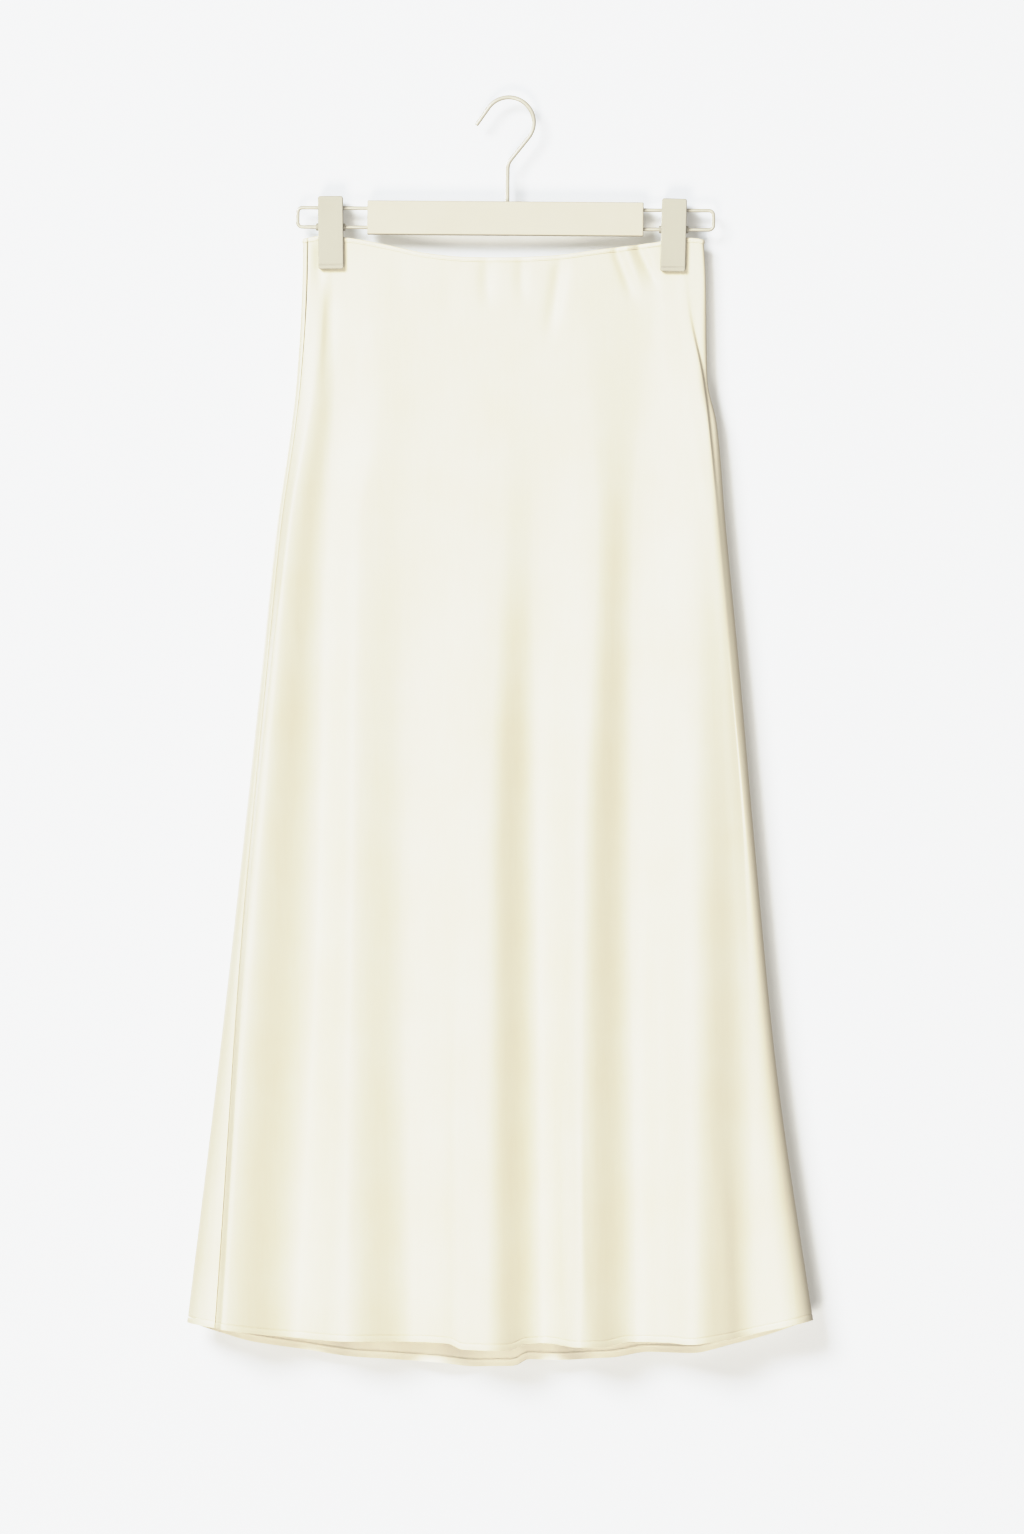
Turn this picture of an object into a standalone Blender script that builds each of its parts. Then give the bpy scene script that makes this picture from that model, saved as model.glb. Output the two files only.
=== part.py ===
"""A satin midi skirt held by a flat clip hanger.

The skirt is two bias-cut panels, a front and a back, that meet at side seams and hang in soft
vertical folds, with a narrow waist edge and a turned hem. The hanger is a flat block with a wire
hook, a wire rail loop at each end, and a two-jawed clip on each rail.

Frame: the origin is the underside of the hook's crown, where a rail carries it. +X is to the
right seen from the front, +Y goes back, +Z is up. Tables are in millimetres, and a "drop" is a
distance below the origin.
"""
import math
from collections import namedtuple

import bmesh
import bpy
import numpy as np
from mathutils import Vector

MM = 0.001
OBJECT = "satin_skirt_on_clip_hanger"
GAP = 0.3

# Cloth
CLOTH_WALL = 1.2
HEM_WALL = 2.0
HEM_HEIGHT = 6.0
ROW_COUNT = 22
ROW_CROWDING = 1.35
BINDING_HEIGHT = 3.2
BINDING_WALL = 1.6
BINDING_PROUD = 0.3
WAIST_DROP = 114.0
HEM_DROP = 990.0

# Hanger
HANGER_TILT_DEG = 0.42
BLOCK_LEFT, BLOCK_RIGHT = -112.8, 108.4
BLOCK_TOP, BLOCK_BOTTOM = 82.0, 109.0
BLOCK_THICK = 12.0
BLOCK_ROUNDING = 1.2
SOCKET_DEPTH = 12.0
HOOK_WIRE = 3.3
HOOK_BOW_RADIUS = 20.0
HOOK_STEM_X = -0.8
HOOK_TIP_ANGLE_DEG = 145.0
HOOK_TIP_LENGTH = 17.0
HOOK_LEAVE_ANGLE_DEG = -38.5
HOOK_BEND_RADIUS = 12.0
RAIL_WIRE = 2.8
RAIL_TOP, RAIL_BOTTOM = 88.0, 103.4
RAIL_LEFT_END, RAIL_RIGHT_END = -168.6, 164.5
RAIL_CORNER = 3.6
CLIP_WIDTH = 20.0
CLIP_TOP, CLIP_BOTTOM = 78.8, 137.2
CLIP_GRIP_TOP = 113.0
CLIP_THICK = 4.2
CLIP_INNER = 3.2
CLIP_GRIP_INNER = 2.7
CLIP_ROUNDING = 1.0
CLIP_CENTRES = {"left": -142.1, "right": 132.7}
CLIP_LEAN_DEG = 1.0
PIVOT_RADIUS = 2.9
PIVOT_OVERHANG = 1.8
PIVOT_STEPS = 16
SOCKET_SIDES = 12
BEND_STEPS = 4
BOW_STEPS = 18
WIRE_STEPS = 2
EDGE_STEPS = 2
WELD_DISTANCE = 0.00001
SHARP_ANGLE_DEG = 50

# Each row is one level section of the skirt: how far down it is, its left and right outline, how
# far the front and the back stand out from the middle plane, and how long its sides round off.
Section = namedtuple("Section", "drop left right front back rounding")
SECTIONS = [
    Section(108, -165.0, 155.5, 2.4, 2.4, 2.4),
    Section(140, -165.5, 157.5, 2.4, 2.4, 2.6),
    Section(225, -170.5, 159.0, 7.5, 5.5, 8.0),
    Section(260, -174.5, 166.5, 9.0, 6.5, 9.0),
    Section(340, -186.0, 173.5, 12.0, 9.0, 11.0),
    Section(450, -197.5, 184.0, 14.5, 11.0, 13.5),
    Section(610, -214.5, 198.0, 18.0, 12.5, 17.0),
    Section(770, -232.5, 213.5, 21.0, 14.0, 22.0),
    Section(985, -258.5, 244.5, 24.0, 16.0, 28.0),
]

# Each row is one fold line that runs down the cloth, a crest or the foot of a valley: its place
# across and how far it stands out of the section, at these drops, and the faces up to the next.
FOLD_DROPS = (108, 160, 230, 340, 610, 985)
Fold = namedtuple("Fold", "name across out faces")
FRONT_FOLDS = [
    Fold("left crest", (-152, -150, -156, -175, -207, -239), (0, 0.5, 2.5, 5.5, 10.5, 11), 5),
    Fold("left valley", (-142, -140, -139, -147, -153, -172), (0, -1.2, -3.2, -5.2, -11, -12.5), 6),
    Fold("second crest", (-118, -108, -100, -118, -124, -128), (0, 0.3, 0.4, 1.2, 5, 10), 5),
    Fold("second valley", (-84, -80, -76, -84, -84, -78), (1, 0.5, 0, -1, -4.5, -8), 6),
    Fold("centre crest", (-3, -3, -3, -5, -16, -16), (3, 2.2, 1.2, 2, 10.5, 12), 6),
    Fold("centre valley", (20, 20, 20, 20, 22, 26), (3, 2, 1.4, -0.6, -9.5, -9.5), 5),
    Fold("fourth crest", (50, 53, 62, 70, 60, 57), (2, 2.4, 2.4, 4, 9.5, 11.5), 5),
    Fold("fourth valley", (112, 115, 108, 100, 98, 102), (0, -1.3, -3.2, -5, -8.5, -10), 5),
    Fold("right crest", (122, 126, 134, 152, 150, 150), (0, -0.7, -0.3, 2, 8, 12), 5),
    Fold("right valley", (132, 134, 145, 162, 188, 196), (0, -0.4, 1, 2.4, -4, -8), 3),
    Fold("side crease edge", (138, 142, 156, 167, 192, 226), (0, 0.1, 2.0, 2.2, -2, -3), 2),
    Fold("side crease foot", (142, 145.5, 157.5, 170, 195, 232), (0, -0.3, -2.4, 0.8, -1, -2), 3),
]
BACK_FOLDS = [
    Fold("back right valley", (140, 143, 146, 156, 178, 200), (0, 0, -0.5, -1.5, -3, -4), 3),
    Fold("back right crest", (125, 127, 130, 137, 148, 160), (0, 0, 1, 2, 5, 7), 4),
    Fold("back fourth valley", (95, 97, 100, 104, 110, 115), (0.5, 0, -1, -2, -4, -7), 4),
    Fold("back fourth crest", (65, 66, 67, 68, 70, 70), (1.2, 0.8, 0.8, 2, 6, 10), 4),
    Fold("back centre valley", (30, 30, 31, 32, 34, 35), (2.5, 1.8, 0.5, -1, -5, -9), 4),
    Fold("back centre crest", (-10, -10, -11, -13, -15, -15), (3, 2.2, 1.2, 2, 6, 11), 4),
    Fold("back second valley", (-50, -50, -50, -52, -55, -58), (2, 1.2, 0.3, -1, -4, -7), 4),
    Fold("back second crest", (-95, -95, -96, -98, -102, -105), (0.6, 0.4, 0.8, 1.5, 4, 9), 4),
    Fold("back left valley", (-130, -130, -130, -135, -145, -155), (0, 0, -0.8, -2, -4, -7), 4),
    Fold("back left crest", (-150, -150, -155, -165, -185, -200), (0, 0, 1, 2, 5, 8), 4),
]

# Distance of each side seam from the outline, at the fold drops. The left one lies on the front
# and the right one on the back, because the skirt hangs with a slight turn.
LEFT_SEAM_INSET = (4.0, 4.0, 3.5, 3.5, 5.6, 23.0)
RIGHT_SEAM_INSET = (4.0, 4.0, 4.0, 5.0, 8.0, 16.0)
SEAM_FACES = 3

# Each row is one point of an edge: its place across and its drop.
Edge = namedtuple("Edge", "across drop")
WAIST_EDGE = [
    Edge(-166, 112.0), Edge(-150, 109.5), Edge(-130, 111.0), Edge(-100, 116.5),
    Edge(-66, 123.6), Edge(-34, 126.6), Edge(-4, 127.0), Edge(30, 125.7),
    Edge(76, 120.0), Edge(122, 114.0), Edge(142, 111.0), Edge(150, 111.5), Edge(158, 113.0),
]
FRONT_HEM_EDGE = [
    Edge(-258, 980.0), Edge(-222, 985.5), Edge(-189, 990.0), Edge(-142, 993.5),
    Edge(-90, 994.5), Edge(-48, 996.0), Edge(-36, 1000.5), Edge(0, 1001.0),
    Edge(14, 996.5), Edge(30, 996.0), Edge(54, 998.5), Edge(76, 998.5),
    Edge(96, 995.0), Edge(128, 995.0), Edge(142, 996.5), Edge(170, 993.5),
    Edge(202, 987.0), Edge(244, 978.0),
]
BACK_HEM_EDGE = [
    Edge(-258, 980.0), Edge(-230, 989.5), Edge(-206, 996.5), Edge(-164, 1002.0),
    Edge(-119, 1009.0), Edge(-58, 1012.5), Edge(-25, 1016.5), Edge(3, 1016.0),
    Edge(16, 1010.0), Edge(45, 1010.5), Edge(80, 1009.5), Edge(112, 1004.0),
    Edge(148, 1005.5), Edge(180, 998.0), Edge(212, 989.0), Edge(244, 978.0),
]

# Colours are sRGB from 0 to 1: satin, its edge, the block, the clips and the coated wire.
SATIN = (0.965, 0.957, 0.910)
SATIN_EDGE = (0.975, 0.970, 0.935)
BLOCK_PAINT = (0.922, 0.910, 0.863)
CLIP_PLASTIC = (0.898, 0.886, 0.839)
WIRE_COAT = (0.930, 0.925, 0.880)


def linear(colour):
    """An sRGB colour as the linear RGBA that a shader takes."""
    parts = [c / 12.92 if c <= 0.04045 else ((c + 0.055) / 1.055) ** 2.4 for c in colour]
    return (*parts, 1.0)


def material(name, colour, roughness):
    made = bpy.data.materials.new(name)
    made.use_nodes = True
    shader = made.node_tree.nodes["Principled BSDF"]
    shader.inputs["Base Color"].default_value = linear(colour)
    shader.inputs["Roughness"].default_value = roughness
    return made


def smooth(places, values, at):
    """Values at some places on a smooth curve through a table, with no overshoot."""
    places = np.asarray(places, float)
    values = np.asarray(values, float)
    steps = np.diff(places)
    rises = np.diff(values) / steps
    slopes = np.zeros(len(values))
    slopes[0], slopes[-1] = rises[0], rises[-1]
    for i in range(1, len(rises)):
        if rises[i - 1] * rises[i] > 0:
            before, after = 2 * steps[i] + steps[i - 1], steps[i] + 2 * steps[i - 1]
            slopes[i] = (before + after) / (before / rises[i - 1] + after / rises[i])
    at = np.clip(at, places[0], places[-1])
    i = np.clip(np.searchsorted(places, at, side="right") - 1, 0, len(steps) - 1)
    t = (at - places[i]) / steps[i]
    return ((2 * t**3 - 3 * t**2 + 1) * values[i] + (t**3 - 2 * t**2 + t) * steps[i] * slopes[i]
            + (3 * t**2 - 2 * t**3) * values[i + 1] + (t**3 - t**2) * steps[i] * slopes[i + 1])


def section_value(column, drops):
    return smooth([s.drop for s in SECTIONS], [getattr(s, column) for s in SECTIONS], drops)


def edge_drop(edge, across):
    return smooth([e.across for e in edge], [e.drop for e in edge], across)


class Line:
    """One line down the skirt: a fold line, a seam or a side edge."""

    def __init__(self, side, faces, fold=None, seam=None):
        self.side, self.faces, self.fold, self.seam = side, faces, fold, seam

    def is_edge(self):
        return self.fold is None and self.seam is None

    def across(self, drops):
        if self.fold:
            return smooth(FOLD_DROPS, self.fold.across, drops)
        inset = smooth(FOLD_DROPS, self.seam, drops) if self.seam else 0.0
        if self.side in ("left", "left seam"):
            return section_value("left", drops) + inset
        return section_value("right", drops) - inset

    def out(self, drops):
        return smooth(FOLD_DROPS, self.fold.out, drops) if self.fold else np.zeros_like(drops)


def ring_lines():
    """The lines once round the skirt, from the left seam over the front and back again."""
    lines = [Line("left seam", SEAM_FACES, seam=LEFT_SEAM_INSET)]
    lines += [Line("front", fold.faces, fold=fold) for fold in FRONT_FOLDS]
    lines += [Line("right", SEAM_FACES), Line("right seam", SEAM_FACES, seam=RIGHT_SEAM_INSET)]
    lines += [Line("back", fold.faces, fold=fold) for fold in BACK_FOLDS]
    lines += [Line("left", SEAM_FACES)]
    return lines


def rise_between(line, after, drops):
    """How steeply the cloth stands out from one line to the next, and the way between them."""
    way = np.maximum(np.abs(after.across(drops) - line.across(drops)), GAP)
    return (after.out(drops) - line.out(drops)) / way, way


def line_slope(before, line, after, drops):
    """The cloth's slope at a line: level on a crest or in a valley, and even part way up."""
    if line.fold is None:
        return np.zeros_like(drops)
    rise, way = rise_between(before, line, drops)
    next_rise, next_way = rise_between(line, after, drops)
    even = rise * next_rise > 0
    first, second = 2 * next_way + way, next_way + 2 * way
    with np.errstate(divide="ignore", invalid="ignore"):
        slope = (first + second) / (first / rise + second / next_rise)
    return np.where(even, slope, 0.0)


def fold_height(lines, i, part, drops):
    """How far the cloth stands out of its section, a part of the way past line i."""
    before, line, after, last = (lines[(i + k) % len(lines)] for k in (-1, 0, 1, 2))
    way = rise_between(line, after, drops)[1]
    slope = line_slope(before, line, after, drops) * way
    next_slope = line_slope(line, after, last, drops) * way
    return ((2 * part**3 - 3 * part**2 + 1) * line.out(drops)
            + (part**3 - 2 * part**2 + part) * slope
            + (3 * part**2 - 2 * part**3) * after.out(drops)
            + (part**3 - part**2) * next_slope)


def ring_column(lines, i, part, is_front, levels):
    """Points down the skirt, a part of the way from line i to the next."""
    line, after = lines[i], lines[(i + 1) % len(lines)]
    hem = FRONT_HEM_EDGE if is_front else BACK_HEM_EDGE

    def across(drops):
        here, there = line.across(drops), after.across(drops)
        if line.is_edge():
            return here + (there - here) * (1 - math.cos(part * math.pi / 2))
        if after.is_edge():
            return here + (there - here) * math.sin(part * math.pi / 2)
        return here + (there - here) * part

    top = edge_drop(WAIST_EDGE, across(np.array([WAIST_DROP]))) + BINDING_HEIGHT + GAP
    bottom = edge_drop(hem, across(np.array([HEM_DROP])))
    drops = top + (bottom - top) * levels
    x = across(drops)
    left, right = section_value("left", drops), section_value("right", drops)
    rounding = section_value("rounding", drops)
    from_side = np.minimum(x - left, right - x)
    turn = np.clip(1 - from_side / rounding, 0, 1)
    depth = section_value("front" if is_front else "back", drops)
    y = (depth + fold_height(lines, i, part, drops)) * np.sqrt(1 - turn**2)
    return np.stack([x, -y if is_front else y, -drops], axis=1)


def row_levels():
    """Levels from the waist, 0, to the hem, 1: closer near the waist, and a band for the hem."""
    band = HEM_HEIGHT / (HEM_DROP - WAIST_DROP)
    levels = [(i / ROW_COUNT) ** ROW_CROWDING * (1 - band) for i in range(ROW_COUNT + 1)]
    return np.array(levels + [1.0])


def skirt_ring():
    """The skirt's outer points, by column and row, and where the two seams are."""
    lines = ring_lines()
    levels = row_levels()
    right_edge = [line.side for line in lines].index("right")
    columns, starts = [], {}
    for i, line in enumerate(lines):
        starts[line.side] = len(columns)
        # Past the right side edge the cloth is on the back, and past the left one on the front.
        is_front = i < right_edge or line.side == "left"
        for face in range(line.faces):
            columns.append(ring_column(lines, i, face / line.faces, is_front, levels))
    return np.array(columns), starts["left seam"], starts["right seam"]


def unit(vectors):
    return vectors / np.linalg.norm(vectors, axis=-1, keepdims=True)


def surface_frame(ring):
    """Unit vectors along the ring and out of the cloth at every point."""
    before = unit(ring - np.roll(ring, 1, axis=0))
    after = unit(np.roll(ring, -1, axis=0) - ring)
    along = unit(before + after)
    down = unit(np.gradient(ring, axis=1))
    return along, unit(np.cross(down, along))


def panel_points(ring, along, first, last):
    """The points of one panel, with its seam edges drawn back by half of the seam gap."""
    count = (last - first) % len(ring) + 1
    picks = [(first + i) % len(ring) for i in range(count)]
    points = ring[picks].copy()
    points[0] += along[picks[0]] * GAP / 2
    points[-1] -= along[picks[-1]] * GAP / 2
    return points, picks


def cloth_wall(name, outer, inner, finish, collection):
    """A closed wall between two grids of points that have the same columns and rows."""
    columns, rows = outer.shape[:2]
    mesh = bpy.data.meshes.new(name)
    bm = bmesh.new()
    skins = [[[bm.verts.new(Vector(point) * MM) for point in column] for column in skin]
             for skin in (outer, inner)]
    for skin, out in zip(skins, (True, False)):
        for i in range(columns - 1):
            for j in range(rows - 1):
                face = [skin[i][j], skin[i][j + 1], skin[i + 1][j + 1], skin[i + 1][j]]
                bm.faces.new(face if out else face[::-1])
    rim = [(i, 0) for i in range(columns)] + [(columns - 1, j) for j in range(1, rows)]
    rim += [(i, rows - 1) for i in range(columns - 2, -1, -1)]
    rim += [(0, j) for j in range(rows - 2, 0, -1)]
    for (i, j), (k, m) in zip(rim, rim[1:] + rim[:1]):
        bm.faces.new([skins[0][i][j], skins[0][k][m], skins[1][k][m], skins[1][i][j]])
    bmesh.ops.recalc_face_normals(bm, faces=bm.faces)
    bm.to_mesh(mesh)
    bm.free()
    mesh.shade_smooth()
    mesh.set_sharp_from_angle(angle=math.radians(SHARP_ANGLE_DEG))
    return add_object(name, mesh, finish, collection)


def add_object(name, data, finish, collection, parent=None):
    made = bpy.data.objects.new(name, data)
    data.materials.append(finish)
    collection.objects.link(made)
    made.parent = parent
    return made


def make_skirt(collection):
    satin = material("satin", SATIN, 0.35)
    satin_edge = material("satin edge", SATIN_EDGE, 0.4)
    ring, left_seam, right_seam = skirt_ring()
    along, out = surface_frame(ring)
    walls = np.full(ring.shape[1], CLOTH_WALL)
    walls[-2:] = HEM_WALL
    for side, first, last in (("front", left_seam, right_seam), ("back", right_seam, left_seam)):
        points, picks = panel_points(ring, along, first, last)
        inner = points - out[picks] * walls[None, :, None]
        cloth_wall(side + "_panel", points, inner, satin, collection)
        # The binding stands on the panel's top edge, moved out of it by its own thickness.
        foot = points[:, 0] + out[picks, 0] * BINDING_PROUD + Vector((0, 0, GAP))
        strip = np.stack([foot + Vector((0, 0, BINDING_HEIGHT)), foot], axis=1)
        inside = strip - out[picks, 0][:, None] * BINDING_WALL
        cloth_wall(side + "_waist_binding", strip, inside, satin_edge, collection)


def arc(centre_x, centre_drop, radius, first_deg, last_deg, steps):
    """Points on an arc in the hanger's plane, with angles counted up from +X."""
    step = (last_deg - first_deg) / steps
    angles = [math.radians(first_deg + step * i) for i in range(steps + 1)]
    return [(centre_x + radius * math.cos(a), -centre_drop + radius * math.sin(a)) for a in angles]


def wire(name, route, thickness, finish, collection, parent):
    curve = bpy.data.curves.new(name, "CURVE")
    curve.dimensions = "3D"
    curve.bevel_depth = thickness / 2 * MM
    curve.bevel_resolution = WIRE_STEPS
    curve.use_fill_caps = True
    spline = curve.splines.new("POLY")
    spline.points.add(len(route) - 1)
    for point, (x, z) in zip(spline.points, route):
        point.co = (x * MM, 0, z * MM, 1)
    spline.use_smooth = True
    return add_object(name, curve, finish, collection, parent)


def hook_route():
    """From the socket up the stem, over the bend, round the bow and out to the tip."""
    bow_drop = HOOK_BOW_RADIUS - HOOK_WIRE / 2
    leave = math.radians(HOOK_LEAVE_ANGLE_DEG)
    leave_x = HOOK_BOW_RADIUS * math.cos(leave)
    leave_z = -bow_drop + HOOK_BOW_RADIUS * math.sin(leave)
    # The straight run leaves the bow along its tangent and turns into the stem on a small arc.
    lean = math.radians(90 + HOOK_LEAVE_ANGLE_DEG)
    bend_x = HOOK_STEM_X + HOOK_BEND_RADIUS
    bend_end_x = bend_x - HOOK_BEND_RADIUS * math.cos(leave)
    run = (leave_x - bend_end_x) / math.cos(lean)
    bend_drop = -(leave_z - run * math.sin(lean)) - HOOK_BEND_RADIUS * math.sin(leave)
    stem_foot = (HOOK_STEM_X, -(BLOCK_TOP + SOCKET_DEPTH - GAP))
    bend = arc(bend_x, bend_drop, HOOK_BEND_RADIUS, 180, 180 + HOOK_LEAVE_ANGLE_DEG, BEND_STEPS)
    bow = arc(0, bow_drop, HOOK_BOW_RADIUS, HOOK_LEAVE_ANGLE_DEG, HOOK_TIP_ANGLE_DEG, BOW_STEPS)
    tip = math.radians(HOOK_TIP_ANGLE_DEG)
    tip_x = bow[-1][0] - HOOK_TIP_LENGTH * math.sin(tip)
    tip_z = bow[-1][1] + HOOK_TIP_LENGTH * math.cos(tip)
    return [stem_foot, *bend, *bow, (tip_x, tip_z)]


def rail_route(end_x, socket_x):
    """A U of wire: out of the block, round two corners at the end and back into the block."""
    way = 1 if end_x > socket_x else -1
    corner_x = end_x - way * RAIL_CORNER
    turn = 90 if way > 0 else -90
    top = arc(corner_x, RAIL_TOP + RAIL_CORNER, RAIL_CORNER, 90, 90 - turn, BEND_STEPS)
    bottom = arc(corner_x, RAIL_BOTTOM - RAIL_CORNER, RAIL_CORNER, 90 - turn, 90 - 2 * turn,
                 BEND_STEPS)
    return [(socket_x, -RAIL_TOP), *top, *bottom, (socket_x, -RAIL_BOTTOM)]


def socket_cutter(name, x, drop, along_x, cutters, parent):
    """A round hole for a wire, longer than its socket so that it cuts through the face."""
    hole = ((RAIL_WIRE if along_x else HOOK_WIRE) / 2 + GAP) * MM
    mesh = bpy.data.meshes.new(name)
    bm = bmesh.new()
    bmesh.ops.create_cone(bm, cap_ends=True, segments=SOCKET_SIDES, radius1=hole, radius2=hole,
                          depth=2 * SOCKET_DEPTH * MM)
    bm.to_mesh(mesh)
    bm.free()
    cutter = bpy.data.objects.new(name, mesh)
    cutters.objects.link(cutter)
    cutter.parent = parent
    cutter.location = (x * MM, 0, -drop * MM)
    cutter.rotation_euler = (0, math.pi / 2 if along_x else 0, 0)
    cutter.hide_render = True
    cutter.display_type = "WIRE"
    return cutter


def round_edges(made, width):
    bevel = made.modifiers.new("rounded edges", "BEVEL")
    bevel.width = width * MM
    bevel.segments = EDGE_STEPS
    bevel.limit_method = "ANGLE"


def make_block(collection, cutters, parent):
    paint = material("painted block", BLOCK_PAINT, 0.6)
    mesh = bpy.data.meshes.new("hanger_block")
    bm = bmesh.new()
    bmesh.ops.create_cube(bm, size=1)
    size = Vector((BLOCK_RIGHT - BLOCK_LEFT, BLOCK_THICK, BLOCK_BOTTOM - BLOCK_TOP))
    bmesh.ops.scale(bm, vec=size * MM, verts=bm.verts)
    bm.to_mesh(mesh)
    bm.free()
    block = add_object("hanger_block", mesh, paint, collection, parent)
    block.location = ((BLOCK_LEFT + BLOCK_RIGHT) / 2 * MM, 0, -(BLOCK_TOP + BLOCK_BOTTOM) / 2 * MM)
    round_edges(block, BLOCK_ROUNDING)
    sockets = [("hook_socket", HOOK_STEM_X, BLOCK_TOP, False)]
    for side, x in (("left", BLOCK_LEFT), ("right", BLOCK_RIGHT)):
        sockets += [(side + "_top_socket", x, RAIL_TOP, True),
                    (side + "_low_socket", x, RAIL_BOTTOM, True)]
    for name, x, drop, along_x in sockets:
        cut = block.modifiers.new(name, "BOOLEAN")
        cut.solver = "EXACT"
        cut.operation = "DIFFERENCE"
        cut.object = socket_cutter(name, x, drop, along_x, cutters, parent)


def make_jaw(name, way, finish, collection, parent):
    """One jaw, flat outside, with its inner side closing in on the cloth towards the grip."""
    curve = bpy.data.curves.new(name, "CURVE")
    curve.dimensions = "2D"
    curve.fill_mode = "BOTH"
    curve.extrude = CLIP_WIDTH / 2 * MM
    outer = CLIP_INNER + CLIP_THICK
    outline = [(outer, CLIP_TOP), (outer, CLIP_BOTTOM), (CLIP_GRIP_INNER, CLIP_BOTTOM),
               (CLIP_INNER, CLIP_GRIP_TOP), (CLIP_INNER, CLIP_TOP)]
    spline = curve.splines.new("POLY")
    spline.points.add(len(outline) - 1)
    spline.use_cyclic_u = True
    for point, (y, drop) in zip(spline.points, outline):
        point.co = (way * y * MM, -(drop - RAIL_BOTTOM) * MM, 0, 1)
    jaw = add_object(name, curve, finish, collection, parent)
    # The outline is drawn in the jaw's side view, so its own X and Y become world Y and Z.
    jaw.rotation_euler = (math.pi / 2, 0, math.pi / 2)
    weld = jaw.modifiers.new("weld", "WELD")
    weld.merge_threshold = WELD_DISTANCE
    round_edges(jaw, CLIP_ROUNDING)


def make_pivot(name, finish, collection, parent):
    """The sleeve round the rail that the two jaws turn on."""
    mesh = bpy.data.meshes.new(name)
    bm = bmesh.new()
    half = CLIP_WIDTH / 2 + PIVOT_OVERHANG
    inner = RAIL_WIRE / 2 + GAP
    ring = [(half, PIVOT_RADIUS), (-half, PIVOT_RADIUS), (-half, inner), (half, inner)]
    verts = [bm.verts.new((radius * MM, 0, x * MM)) for x, radius in ring]
    for a, b in zip(verts, verts[1:] + verts[:1]):
        bm.edges.new((a, b))
    bm.to_mesh(mesh)
    bm.free()
    pivot = add_object(name, mesh, finish, collection, parent)
    pivot.rotation_euler = (0, math.pi / 2, 0)
    turn = pivot.modifiers.new("turned", "SCREW")
    turn.steps = turn.render_steps = PIVOT_STEPS
    turn.use_merge_vertices = True
    turn.merge_threshold = WELD_DISTANCE
    return pivot


def make_clip(side, collection, parent):
    plastic = bpy.data.materials.get("clip plastic") or material("clip plastic", CLIP_PLASTIC, 0.5)
    hinge = bpy.data.objects.new(side + "_clip_hinge", None)
    collection.objects.link(hinge)
    hinge.parent = parent
    hinge.location = (CLIP_CENTRES[side] * MM, 0, -RAIL_BOTTOM * MM)
    # The cloth's pull leans the lower end of each clip towards the middle.
    lean = CLIP_LEAN_DEG if side == "right" else -CLIP_LEAN_DEG
    hinge.rotation_euler = (0, math.radians(lean), 0)
    make_jaw(side + "_clip_front_jaw", -1, plastic, collection, hinge)
    make_jaw(side + "_clip_back_jaw", 1, plastic, collection, hinge)
    make_pivot(side + "_clip_pivot", plastic, collection, parent).location = hinge.location


def make_hanger(collection, cutters):
    tilt = bpy.data.objects.new("hanger_tilt", None)
    collection.objects.link(tilt)
    tilt.rotation_euler = (0, math.radians(HANGER_TILT_DEG), 0)
    coat = material("coated wire", WIRE_COAT, 0.35)
    make_block(collection, cutters, tilt)
    wire("hanger_hook", hook_route(), HOOK_WIRE, coat, collection, tilt)
    # Each rail ends just short of the bottom of its sockets.
    reach = SOCKET_DEPTH - GAP
    for side, end_x, socket_x in (("left", RAIL_LEFT_END, BLOCK_LEFT + reach),
                                  ("right", RAIL_RIGHT_END, BLOCK_RIGHT - reach)):
        wire(side + "_rail", rail_route(end_x, socket_x), RAIL_WIRE, coat, collection, tilt)
        make_clip(side, collection, tilt)


def main():
    for old in list(bpy.data.objects):
        bpy.data.objects.remove(old, do_unlink=True)
    parts = bpy.data.collections.new(OBJECT)
    cutters = bpy.data.collections.new("cutters")
    for collection in (parts, cutters):
        bpy.context.scene.collection.children.link(collection)
    make_skirt(parts)
    make_hanger(parts, cutters)


main()
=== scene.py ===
"""The looks of a cream satin skirt that hangs from the two clips of a flat hanger."""
import math
from collections import namedtuple

import bmesh
import bpy
import numpy as np
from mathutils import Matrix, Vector


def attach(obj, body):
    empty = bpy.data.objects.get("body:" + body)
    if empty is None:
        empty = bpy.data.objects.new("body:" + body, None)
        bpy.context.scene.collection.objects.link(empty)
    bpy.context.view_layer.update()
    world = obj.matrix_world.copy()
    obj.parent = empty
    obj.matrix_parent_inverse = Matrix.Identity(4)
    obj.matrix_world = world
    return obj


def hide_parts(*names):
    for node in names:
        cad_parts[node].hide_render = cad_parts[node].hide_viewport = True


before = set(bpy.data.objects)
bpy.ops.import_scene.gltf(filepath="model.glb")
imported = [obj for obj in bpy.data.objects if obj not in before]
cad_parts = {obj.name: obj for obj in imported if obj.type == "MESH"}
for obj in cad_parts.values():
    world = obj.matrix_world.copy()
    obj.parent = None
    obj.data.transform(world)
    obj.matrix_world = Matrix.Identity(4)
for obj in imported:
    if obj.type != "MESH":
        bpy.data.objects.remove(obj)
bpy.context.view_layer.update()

# The skirt's two panels. Each is one piece of midweight polyester satin, cut on the bias so that it
# flares from the waist to the hem. They are sewn together at the sides, turned up in a narrow hem,
# and fall in soft folds because only the two top corners are held.
MM = 0.001

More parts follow.
